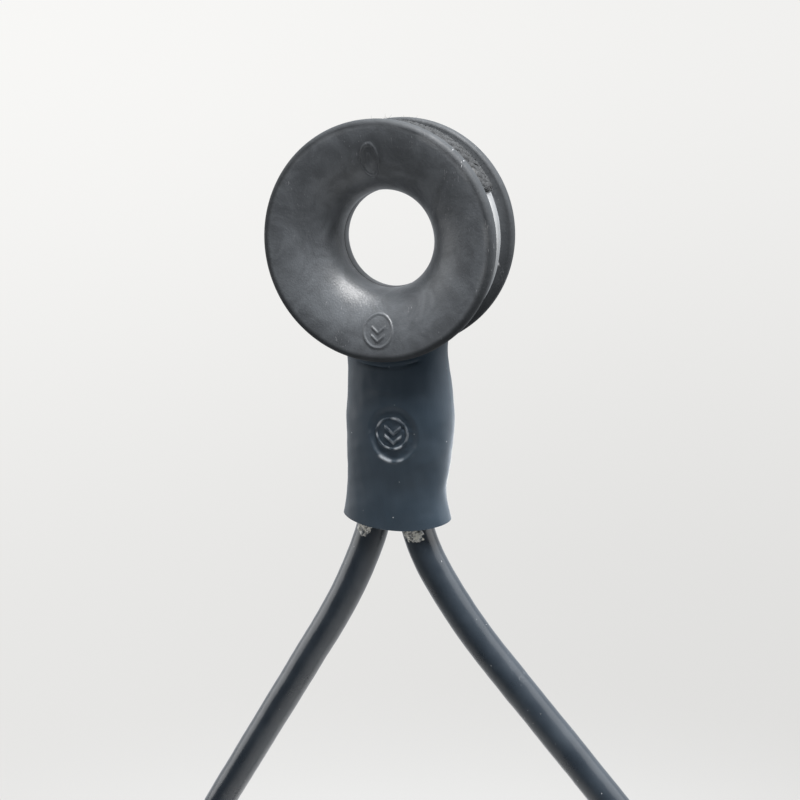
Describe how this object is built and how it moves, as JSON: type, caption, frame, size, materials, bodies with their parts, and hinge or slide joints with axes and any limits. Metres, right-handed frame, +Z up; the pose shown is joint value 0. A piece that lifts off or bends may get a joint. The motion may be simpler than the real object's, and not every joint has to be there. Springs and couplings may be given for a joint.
{
  "type": "zip line ring trolley",
  "caption": "Sheaveless zip line trolley: a flared low-friction ring runs on the rope, held in a cord eye seized under a heat-shrink sleeve, with a tube-covered hand loop hanging below.",
  "frame": {"origin": "centre of the ring, on the bore's axis, midway between its two faces", "axes": "+Z up towards the line the trolley hangs from, +Y along the ring's bore towards its rear face, +X to the right seen from the front"},
  "size_m": [0.131, 0.0198, 0.2567],
  "materials": {
    "ring": "matte moulded, faintly mottled",
    "tube": "glossy extruded tube",
    "core": "braided cord core",
    "braid": "rough braided cover",
    "twine": "waxed whipping twine",
    "sleeve": "satin heat-shrink",
    "adhesive": "cloudy hot-melt"
  },
  "bodies": {
    "neck": {"eye_tube": "tube", "left_tube_end": "tube", "eye_core": "core", "splice_whipping": "twine", "chafe_sleeve": "braid", "seizing_base_turns": "twine", "seizing_riding_turns": "twine", "shrink_sleeve": "sleeve", "mouth_adhesive": "adhesive"},
    "ring": {"ring_front_half": "ring", "ring_rear_half": "ring"},
    "leg_roots": {"left_root_tube": "tube", "left_root_core": "core", "right_root_tube": "tube", "right_root_core": "core"},
    "hand_loop": {"loop_tube": "tube", "loop_core": "core"}
  },
  "joints": [
    {"name": "ring_spin", "type": "hinge", "parent": "neck", "child": "ring", "pos_m": [0, 0, 0], "axis": [0, 1, 0], "continuous": true},
    {"name": "loop_sway", "type": "hinge", "parent": "neck", "child": "leg_roots", "pos_m": [0, 0, -0.0556], "axis": [0, 1, 0], "range_deg": [-12, 12], "stiffness_Nm_per_rad": 0.03},
    {"name": "loop_swing", "type": "hinge", "parent": "leg_roots", "child": "hand_loop", "pos_m": [0, 0, -0.082], "axis": [1, 0, 0], "range_deg": [-50, 50], "stiffness_Nm_per_rad": 0.005}
  ]
}
